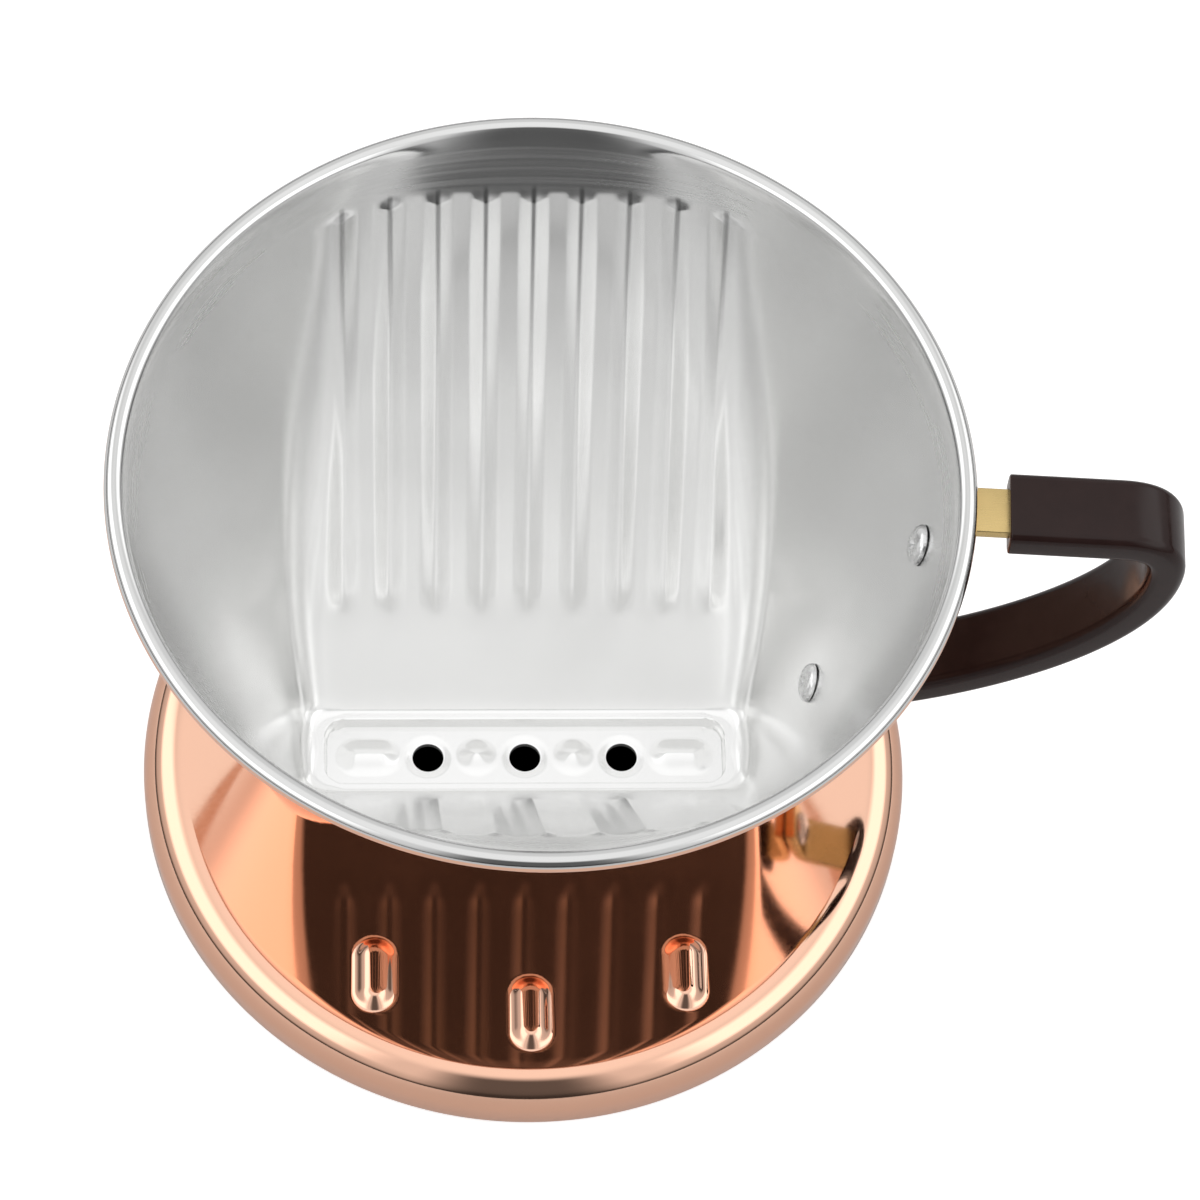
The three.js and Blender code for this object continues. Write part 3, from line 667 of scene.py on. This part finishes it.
class DRIPPER_OT_cup(bpy.types.Operator):
    """Make the cup: one closed copper sheet with ribs, sump and rolled rim, tinned inside"""

    bl_idname = "dripper.make_cup"
    bl_label = "Cup"

    def execute(self, context):
        scene = context.scene
        s = scene.dripper_cup
        shape = CupShape(s)
        columns = cup_columns(shape)
        floor_shares = np.linspace(1.0, 0.0, 44)[1:]

        inside_top = self.bead_rows(shape, columns, 150.0, 20.0)
        outside_top = self.bead_rows(shape, columns, 14.0, -75.0)
        round_off = shape.crease + (shape.end_crease - shape.crease) * np.abs(columns.dx)
        start = s.ledge_height + round_off
        wall_inside = []
        for z in shape.wall_heights(s.ledge_height + shape.crease, shape.wall_top - 0.0001):
            lift = 1.0 - smooth_step(s.ledge_height + shape.crease, s.ledge_height + 0.009, z)
            heights = z + (start - s.ledge_height - shape.crease) * lift
            wall_inside.append(columns.ring(shape.section(heights), heights))
        crease = []
        for turn in np.radians(np.linspace(0.0, 90.0, 9)[1:]):
            z = s.ledge_height + round_off * (1.0 - math.sin(turn))
            far = columns.reach(shape.section(z)) - round_off * (1.0 - math.cos(turn))
            crease.append(columns.at(far, z))
        edge = columns.reach(shape.section(s.ledge_height)) - round_off
        floor_inside = [self.floor_ring(shape, columns, edge * share, False) for share in floor_shares]
        tin_rows = floor_inside[::-1] + crease[::-1] + wall_inside + inside_top

        dish_underside = DISH_HIGH.z - scene.dripper_dish.vent_height - scene.dripper_dish.sheet
        lip_top = dish_underside - 0.0001
        lip_height = 0.0014
        lip_reach = 0.0008
        lip = [(lip_top - lip_height * t, lip_reach * math.sin(math.pi * t))
               for t in np.linspace(0.0, 1.0, 9)]
        wall_outside = [columns.ring(shape.section(z, True), z)
                        for z in shape.wall_heights(lip_top + 0.0002, shape.bead_height - 0.0016)]
        lip_rows = [columns.ring(shape.section(z, True, grow), z) for z, grow in lip]
        under = s.ledge_height - s.wall
        edge = columns.reach(shape.section(under, True))
        floor_outside = [self.floor_ring(shape, columns, edge * share, True)
                         for share in np.concatenate([[0.985], floor_shares])]
        copper_rows = outside_top + wall_outside[::-1] + lip_rows + floor_outside

        points, faces = skin(tin_rows + copper_rows)
        count = len(columns.x)
        indices = [0 if i < (len(tin_rows) - 1) * count else 1 for i in range(len(faces))]
        tin = tin_lining(s)
        cup = make_piece("cup_sheet", points, faces, [tin, polished_copper("cup_copper", s)], indices)

        cutters = []
        for x in shape.hole_places:
            place = Matrix.Translation((x, 0.0, shape.sump_floor))
            cutters.append(drill(s.hole_diameter / 2.0, CUTTER_REACH, place, tin))
        for z in rivet_heights():
            place = handle_turn(scene.dripper_handle) @ wall_frame(shape, z)
            cutters.append(drill(RIVET_BORE, CUTTER_REACH, place, tin))
        cut_piece(cup, cutters)
        finish_piece(cup, "tinned_copper", "cup")
        return {"FINISHED"}

    @staticmethod
    def bead_rows(shape, columns, start, end):
        """Rings round part of the rolled rim, by angle from outwards."""
        rows = []
        for turn in np.radians(np.linspace(start, end, 14)):
            radius = shape.bead_middle + shape.bead_radius * math.cos(turn)
            z = shape.bead_height + shape.bead_radius * math.sin(turn)
            rows.append(columns.ring(circle(radius), z))
        return rows

    @staticmethod
    def floor_ring(shape, columns, far, outside):
        """A ring of the floor at a distance along each column."""
        flat = columns.at(far, 0.0)
        flat[:, 2] = shape.floor_height(flat[:, 0], flat[:, 1], outside)
        return flat


# ---------- the base dish ----------

class DRIPPER_OT_dish(bpy.types.Operator):
    """Make the base dish: pressed copper with a slot for the cup, vent bumps and a turned-in hem"""

    bl_idname = "dripper.make_dish"
    bl_label = "Base dish"

    def execute(self, context):
        s = context.scene.dripper_dish
        shape = CupShape(context.scene.dripper_cup)
        columns = cup_columns(shape)
        top = DISH_HIGH.z - s.vent_height
        slot = columns.reach(shape.section(top, True, 0.00008))
        flat_radius = s.radius - s.edge
        flat_end = columns.reach(circle(flat_radius))

        def flat_rows(count, drop):
            rows = []
            for share in np.linspace(0.0, 1.0, count):
                ring = columns.at(slot + (flat_end - slot) * share, 0.0)
                ring[:, 2] = top - drop + self.vents(s, ring[:, 0], ring[:, 1])
                rows.append(ring)
            return rows

        def round_rows(radius):
            rows = []
            for turn in np.radians(np.linspace(90.0, 0.0, 19)[1:]):
                rows.append(columns.ring(circle(flat_radius + radius * math.cos(turn)),
                                         top - s.edge + radius * math.sin(turn)))
            return rows

        hem = []
        roll = s.hem / 2.0
        hem_middle = s.radius - roll
        for turn in np.radians(np.linspace(0.0, -180.0, 13)):
            hem.append(columns.ring(circle(hem_middle + roll * math.cos(turn)),
                                    0.5 * roll + 0.5 * roll * math.sin(turn)))
        hem.append(columns.ring(circle(s.radius - s.hem), s.sheet))
        hem.append(columns.ring(circle(s.radius - s.sheet), s.sheet * 1.4))
        rows = flat_rows(150, 0.0) + round_rows(s.edge) + hem
        rows += round_rows(s.edge - s.sheet)[::-1] + flat_rows(75, s.sheet)[::-1]
        points, faces = skin(rows, closed=True)
        dish = make_piece("dish_sheet", points, faces,
                          [polished_copper("dish_copper", context.scene.dripper_cup)])
        finish_piece(dish, "polished_copper", "base_plate")
        return {"FINISHED"}

    @staticmethod
    def vents(s, x, y):
        """Height of the vent bumps above the flat top."""
        rise = np.zeros_like(x)
        half = (s.vent_length - s.vent_width) / 2.0
        for side in (-1.0, 1.0):
            for spread in (-s.vent_spread, 0.0, s.vent_spread):
                middle_x = s.vent_middle * math.sin(spread)
                middle_y = side * s.vent_middle * math.cos(spread)
                away = capsule(x - middle_x, y - middle_y, half, "Y") / (s.vent_width / 2.0)
                rise = rise + s.vent_height * (0.5 + 0.5 * np.cos(np.pi * np.minimum(away, 1.0) ** 1.4))
        return rise


# ---------- the handle, its brackets and fasteners ----------
# Drawn in the handle's own plane: x outwards from the axis, z up, y across.

class HandleLines:
    """Middle lines of the grip and the two brackets, with the tabs where they meet."""

    gap = 0.0045            # rim to the grip's upper end
    reach = 0.0269          # rim to the middle of the grip at its furthest
    tab_drop = 0.0044       # top of the rim to the middle of the upper tab
    lower_height = 0.0394
    lower_gap = 0.0082
    lower_rise = math.radians(22.0)
    turn = 0.007
    bend = 0.0018
    grip = 0.0055
    foot_tail = 0.0045
    screw_inset = 0.003

    def __init__(self, cup, handle):
        self.shape = CupShape(cup)
        self.handle = handle
        out = self.shape.wall_out(self.lower_height)
        self.upper_end = Vector((cup.rim_radius + self.gap, cup.height - self.tab_drop))
        self.lower_end = Vector((out + self.lower_gap, self.lower_height))
        self.lower_along = Vector((math.cos(self.lower_rise), math.sin(self.lower_rise)))
        self.reach_x = cup.rim_radius + self.reach

    def grip_line(self, steps=44):
        """A level arm, a tight turn and one long sweep back to the cup."""
        arm_end = Vector((self.reach_x - self.turn, self.upper_end.y))
        corner = Vector((self.reach_x, self.upper_end.y))
        sweep_start = Vector((self.reach_x, self.upper_end.y - self.turn))
        drop = sweep_start.y - self.lower_end.y
        down = Vector((self.reach_x, sweep_start.y - 0.42 * drop))
        inward = self.lower_end + self.lower_along * (0.48 * drop)
        line = [self.upper_end.lerp(arm_end, t) for t in np.linspace(0.0, 1.0, 12)]
        line += bezier([arm_end, corner, sweep_start], 16)[1:]
        line += bezier([sweep_start, down, inward, self.lower_end], steps)[1:]
        return line

    def bracket_line(self, rivet_height, end, along):
        """Up along the cup's wall, round a bend and out along the tab."""
        slope = math.atan(self.shape.cone_slope)
        off = (0.0001 + self.handle.strip / 2.0) / math.cos(slope)
        low = rivet_height - self.foot_tail * math.cos(slope)
        foot = Vector((self.shape.wall_out(low) + off, low))
        up = Vector((math.sin(slope), math.cos(slope)))
        tab_end = end + along * self.grip
        reach = tab_end - foot
        far = (reach.x * along.y - reach.y * along.x) / (up.x * along.y - up.y * along.x)
        corner = foot + up * far
        bend = bezier([corner - up * self.bend, corner, corner + along * self.bend], 10)
        straight = [foot.lerp(bend[0], t) for t in np.linspace(0.0, 1.0, 6)][:-1]
        tab = [bend[-1].lerp(tab_end, t) for t in np.linspace(0.0, 1.0, 6)][1:]
        return straight + bend + tab

    def tabs(self):
        """Each tab's name, end, direction, rise and rivet height."""
        upper, lower = rivet_heights()
        return [("upper", self.upper_end, Vector((1.0, 0.0)), 0.0, upper),
                ("lower", self.lower_end, self.lower_along, self.lower_rise, lower)]

    def screw_frame(self, end, along, rise):
        """A frame on a tab's middle line at its screw, +Z up through the tab."""
        place = end + along * self.screw_inset
        return Matrix.Translation((place.x, 0.0, place.y)) @ Matrix.Rotation(-rise, 4, "Y")


def bezier(points, steps):
    """Points along a Bezier curve with any number of control points."""
    line = []
    for t in np.linspace(0.0, 1.0, steps):
        level = [p.copy() for p in points]
        while len(level) > 1:
            level = [a.lerp(b, t) for a, b in zip(level, level[1:])]
        line.append(level[0])
    return line


def rounded_section(half_width, half_thickness, corner, per_corner=6):
    """Points round a rectangle with round corners, as (across, up)."""
    points = []
    for quarter in range(4):
        sign_y = 1.0 if quarter in (0, 3) else -1.0
        sign_z = 1.0 if quarter in (0, 1) else -1.0
        for step in range(per_corner + 1):
            turn = math.radians(90.0 * (quarter + step / per_corner))
            points.append((sign_y * (half_width - corner) + corner * math.cos(turn),
                           sign_z * (half_thickness - corner) + corner * math.sin(turn)))
    return points


def sweep(name, line, section_at, matrix, materials):
    """Sweeps a section along a line in the handle's plane. section_at(far, total) gives its points."""
    far = [0.0]
    for a, b in zip(line, line[1:]):
        far.append(far[-1] + (b - a).length)
    rings = []
    for i, point in enumerate(line):
        along = (line[min(i + 1, len(line) - 1)] - line[max(i - 1, 0)]).normalized()
        up = Vector((-along.y, along.x))
        rings.append(np.array([(point.x + up.x * v, u, point.y + up.y * v)
                               for u, v in section_at(far[i], far[-1])]))
    for end in (0, -1):
        middle = rings[end].mean(axis=0)
        caps = [middle + (rings[end] - middle) * share for share in (0.6, 0.25, 0.0)]
        rings = caps[::-1] + rings if end == 0 else rings + caps
    points, faces = skin(rings)
    piece = make_piece(name, points, faces, materials)
    piece.data.transform(matrix)
    return piece


def end_pull(far, total, rounding):
    """How far a section draws in close to an end, so that the end is round."""
    inset = min(1.0, min(far, total - far) / rounding)
    return rounding * (1.0 - math.sqrt(max(0.0, 1.0 - (1.0 - inset) ** 2)))


def end_steps(line, rounding):
    """The line with extra points close to each end, so that the ends can be rounded."""
    first = (line[1] - line[0]).normalized()
    last = (line[-1] - line[-2]).normalized()
    shares = (0.0, 0.15, 0.4, 0.7, 1.0)
    start = [line[0] + first * (rounding * share) for share in shares]
    finish = [line[-1] - last * (rounding * share) for share in shares[::-1]]
    return start + [p for p in line[1:-1] if (p - line[0]).length > 1.5 * rounding
                    and (p - line[-1]).length > 1.5 * rounding] + finish


class DRIPPER_OT_handle(bpy.types.Operator):
    """Make the moulded grip, with a pocket in each end for the bracket's tab"""

    bl_idname = "dripper.make_handle"
    bl_label = "Grip"

    rounding = 0.0003

    def execute(self, context):
        s = context.scene.dripper_handle
        lines = HandleLines(context.scene.dripper_cup, s)
        line = end_steps(lines.grip_line(), self.rounding)

        def section_at(far, total):
            pull = end_pull(far, total, self.rounding)
            return rounded_section(s.width / 2.0 - pull, s.thickness / 2.0 - pull, s.edge - pull * 0.5, 8)

        resin = handle_resin(s)
        grip = sweep("grip", line, section_at, handle_turn(s), [resin])
        spare = 0.0004
        pocket = (2.0 * lines.grip + spare, s.strip_width + spare, s.strip + spare)
        cutters = []
        for _, end, along, rise, _ in lines.tabs():
            place = handle_turn(s) @ Matrix.Translation((end.x, 0.0, end.y))
            place = place @ Matrix.Rotation(-rise, 4, "Y")
            cutters.append(block("pocket", pocket, place, resin))
            below = handle_turn(s) @ lines.screw_frame(end, along, rise)
            below = below @ Matrix.Translation((0.0, 0.0, -0.0024))
            cutters.append(drill(0.0014, 0.0024, below, resin))
        cut_piece(grip, cutters)
        finish_piece(grip, "handle_resin", "handle")
        return {"FINISHED"}


class DRIPPER_OT_brackets(bpy.types.Operator):
    """Make the two brass brackets that carry the grip"""

    bl_idname = "dripper.make_brackets"
    bl_label = "Brackets"

    edge = 0.00025

    def execute(self, context):
        s = context.scene.dripper_handle
        lines = HandleLines(context.scene.dripper_cup, s)
        brass = bracket_brass(s)

        def section_at(far, total):
            pull = end_pull(far, total, self.edge)
            return rounded_section(s.strip_width / 2.0 - pull, s.strip / 2.0 - pull, self.edge, 4)

        for name, end, along, rise, rivet in lines.tabs():
            line = end_steps(lines.bracket_line(rivet, end, along), self.edge)
            strip = sweep(f"{name}_strip", line, section_at, handle_turn(s), [brass])
            rivet_place = handle_turn(s) @ wall_frame(lines.shape, rivet)
            screw_place = handle_turn(s) @ lines.screw_frame(end, along, rise)
            cut_piece(strip, [drill(RIVET_BORE, CUTTER_REACH, rivet_place, brass),
                              drill(0.0013, 0.002, screw_place, brass)])
            finish_piece(strip, "bracket_brass", f"{name}_bracket")
        return {"FINISHED"}


class DRIPPER_OT_rivets(bpy.types.Operator):
    """Make the rivets, closed with a dimple inside the cup and a round head outside"""

    bl_idname = "dripper.make_rivets"
    bl_label = "Rivets"

    def execute(self, context):
        s = context.scene.dripper_handle
        shape = CupShape(context.scene.dripper_cup)
        metal = hammered_steel("rivet_metal", s)
        outer_seat = s.strip + 0.0002
        inner_seat = -(shape.s.wall + 0.0002)
        inner = 0.0029
        outer = 0.0026
        high = 0.0012
        shank = 0.0015
        profile = [(0.0, inner_seat - high * 0.45)]
        for share in np.linspace(0.08, 1.0, 22):
            dimple = 0.55 * high * math.exp(-(share / 0.30) ** 2)
            crown = high * math.sqrt(max(0.0, 1.0 - share ** 2.6))
            profile.append((inner * share, inner_seat - max(0.0, crown - dimple) - 0.0001))
        profile += [(inner, inner_seat), (shank, inner_seat), (shank, outer_seat), (outer, outer_seat)]
        for turn in np.radians(np.linspace(6.0, 84.0, 12)):
            profile.append((outer * math.cos(turn), outer_seat + high * math.sin(turn)))
        profile.append((0.0, outer_seat + high))
        for name, z in zip(("upper", "lower"), rivet_heights()):
            place = handle_turn(s) @ wall_frame(shape, z)
            rivet = turned(f"{name}_rivet_head", profile, place, [metal], 72, 50.0)
            finish_piece(rivet, "rivet_metal", f"{name}_rivet")
        return {"FINISHED"}


class DRIPPER_OT_screws(bpy.types.Operator):
    """Make the pan-head screws that hold the grip on its tabs, from underneath"""

    bl_idname = "dripper.make_screws"
    bl_label = "Screws"

    def execute(self, context):
        s = context.scene.dripper_handle
        lines = HandleLines(context.scene.dripper_cup, s)
        metal = hammered_steel("screw_steel", s)
        seat = -s.thickness / 2.0 - 0.00002
        head, high, shank = 0.0021, 0.0012, 0.0012
        profile = [(0.0, seat - high)]
        for turn in np.radians(np.linspace(80.0, 0.0, 12)):
            profile.append((head * math.cos(turn) ** 0.6, seat - high * (0.25 + 0.75 * math.sin(turn))))
        profile += [(head, seat), (shank, seat), (shank, s.strip / 2.0), (0.0, s.strip / 2.0)]
        for name, end, along, rise, _ in lines.tabs():
            place = handle_turn(s) @ lines.screw_frame(end, along, rise)
            screw = turned(f"{name}_screw", profile, place, [metal], 48)
            recess = place @ Matrix.Translation((0.0, 0.0, seat - high))
            cut_piece(screw, [block("slot_a", (0.0024, 0.0006, 0.0012), recess, metal),
                              block("slot_b", (0.0006, 0.0024, 0.0012), recess, metal)])
            finish_piece(screw, "screw_steel", f"{name}_handle_screw")
        return {"FINISHED"}


# ---------- the studio ----------

class DRIPPER_OT_studio(bpy.types.Operator):
    """Make the pale floor, the soft light and the camera"""

    bl_idname = "dripper.make_studio"
    bl_label = "Studio"

    floor_radius = 4.0
    sensor = 36.0

    def execute(self, context):
        scene = context.scene
        s = scene.dripper_studio
        self.make_floor(scene)
        self.make_world(scene, s)
        self.make_camera(scene, s)
        scene.view_settings.view_transform = "Standard"
        return {"FINISHED"}

    def make_floor(self, scene):
        """A wide pale disc, left open under the dish so that the drip holes stay dark."""
        turns = np.linspace(0.0, 2.0 * math.pi, 96, endpoint=False)
        flat = np.full(len(turns), CAD_LOW.z - 0.00005)
        rings = [np.stack([r * np.cos(turns), r * np.sin(turns), flat], -1)
                 for r in (0.9 * DISH_HIGH.y, 0.3, self.floor_radius)]
        points, faces = skin(rings)
        mesh = bpy.data.meshes.new("floor")
        mesh.from_pydata([tuple(p) for p in points], [], faces)
        floor = bpy.data.objects.new("floor", mesh)
        scene.collection.objects.link(floor)
        finish = Finish("studio_floor", (0.66, 0.66, 0.66), 0.0, 0.6)
        finish.rough(finish.spread(finish.noise(12.0), 0.5, 0.7))
        finish.shader.inputs["Emission Color"].default_value = (1.0, 1.0, 1.0, 1.0)
        seen = finish.nodes.new("ShaderNodeLightPath").outputs["Is Camera Ray"]
        finish.links.new(finish.product(seen, 0.6), finish.shader.inputs["Emission Strength"])
        mesh.materials.append(finish.material)

    def make_world(self, scene, s):
        """Soft boxes overhead and to the sides, with a dark gap in front and a thin dark horizon."""
        world = bpy.data.worlds.new("studio_light")
        scene.world = world
        world.use_nodes = True
        tree = Nodes(world.node_tree, "Generated")
        x, y, z = tree.axes()

        def sine(degrees):
            return math.sin(math.radians(degrees))

        def cosine(degrees):
            return math.cos(math.radians(degrees))

        def climb(start, end, low, high):
            """Goes from low to high between two height angles in degrees."""
            return tree.spread(z, low, high, sine(start), sine(end))

        flat = tree.math("SQRT", tree.math("SUBTRACT", 1.0, tree.product(z, z)))
        flat = tree.math("MAXIMUM", flat, 0.001)
        frontness = tree.math("DIVIDE", tree.product(y, -1.0), flat)
        sideness = tree.math("DIVIDE", tree.math("ABSOLUTE", x), flat)
        front = tree.spread(frontness, 0.0, 1.0, cosine(26.0), cosine(8.0))
        gap = tree.product(front, climb(50.0, 66.0, 1.0, 0.0), climb(6.0, 16.0, 1.0, 0.90))
        band = tree.product(climb(18.0, 27.0, 0.0, 1.0), climb(48.0, 60.0, 1.0, 0.0))
        side_box = tree.product(tree.spread(sideness, 0.0, 1.0, sine(30.0), sine(52.0)), band)
        ceiling = tree.product(climb(50.0, 70.0, 0.0, 1.0), 0.28)
        light = tree.math("ADD", tree.math("ADD", side_box, ceiling), climb(8.0, 28.0, 0.62, 0.88))
        horizon = tree.spread(z, 0.0, 1.0, 0.02, 0.16)
        light = tree.product(light, tree.math("SUBTRACT", 1.0, gap), horizon, s.light)
        light = tree.math("ADD", light, 0.05)

        camera_ray = tree.nodes.new("ShaderNodeLightPath").outputs["Is Camera Ray"]
        backdrop = tree.product(camera_ray, tree.spread(z, 0.0, 1.0, -0.3, -0.1))
        others = tree.product(light, tree.math("SUBTRACT", 1.0, camera_ray))
        background = tree.nodes["Background"]
        background.inputs["Color"].default_value = (1.0, 1.0, 1.0, 1.0)
        tree.links.new(tree.math("ADD", others, backdrop), background.inputs["Strength"])

    def make_camera(self, scene, s):
        """The camera, aimed by angles at a point beside the dish."""
        data = bpy.data.cameras.new("camera")
        data.lens = s.lens
        data.sensor_width = self.sensor
        camera = bpy.data.objects.new("camera", data)
        scene.collection.objects.link(camera)
        aim = Vector((0.01235, 0.03004, CAD_LOW.z))
        back = Vector((math.sin(s.azimuth) * math.cos(s.elevation),
                       -math.cos(s.azimuth) * math.cos(s.elevation),
                       math.sin(s.elevation)))
        right = Vector((math.cos(s.azimuth), math.sin(s.azimuth), 0.0))
        up = back.cross(right)
        rolled_right = right * math.cos(s.roll) + up * math.sin(s.roll)
        rolled_up = up * math.cos(s.roll) - right * math.sin(s.roll)
        turn = Matrix((rolled_right, rolled_up, back)).transposed().to_4x4()
        camera.matrix_world = Matrix.Translation(aim + back * s.distance) @ turn
        scene.camera = camera


class DRIPPER_PT_panel(bpy.types.Panel):
    """Buttons that make each piece"""

    bl_label = "Dripper"
    bl_idname = "DRIPPER_PT_panel"
    bl_space_type = "VIEW_3D"
    bl_region_type = "UI"
    bl_category = "Dripper"

    def draw(self, context):
        for operator in OPERATORS:
            self.layout.operator(operator.bl_idname)
        for name in SETTINGS:
            box = self.layout.box()
            box.label(text=name.replace("dripper_", "").capitalize())
            group = getattr(context.scene, name)
            for key in group.__annotations__:
                box.prop(group, key)


SETTINGS = {
    "dripper_cup": DRIPPER_PG_cup,
    "dripper_dish": DRIPPER_PG_dish,
    "dripper_handle": DRIPPER_PG_handle,
    "dripper_studio": DRIPPER_PG_studio,
}
OPERATORS = (
    DRIPPER_OT_studio,
    DRIPPER_OT_cup,
    DRIPPER_OT_dish,
    DRIPPER_OT_handle,
    DRIPPER_OT_brackets,
    DRIPPER_OT_rivets,
    DRIPPER_OT_screws,
)


def register():
    """Adds the settings, operators and panel."""
    for name, group in SETTINGS.items():
        bpy.utils.register_class(group)
        setattr(bpy.types.Scene, name, PointerProperty(type=group))
    for operator in OPERATORS:
        bpy.utils.register_class(operator)
    bpy.utils.register_class(DRIPPER_PT_panel)


def unregister():
    """Removes what register adds."""
    bpy.utils.unregister_class(DRIPPER_PT_panel)
    for operator in reversed(OPERATORS):
        bpy.utils.unregister_class(operator)
    for name, group in SETTINGS.items():
        delattr(bpy.types.Scene, name)
        bpy.utils.unregister_class(group)


def main():
    """Builds the whole scene."""
    register()
    bpy.ops.dripper.make_studio()
    bpy.ops.dripper.make_cup()
    bpy.ops.dripper.make_dish()
    bpy.ops.dripper.make_handle()
    bpy.ops.dripper.make_brackets()
    bpy.ops.dripper.make_rivets()
    bpy.ops.dripper.make_screws()


if __name__ == "__main__":
    main()
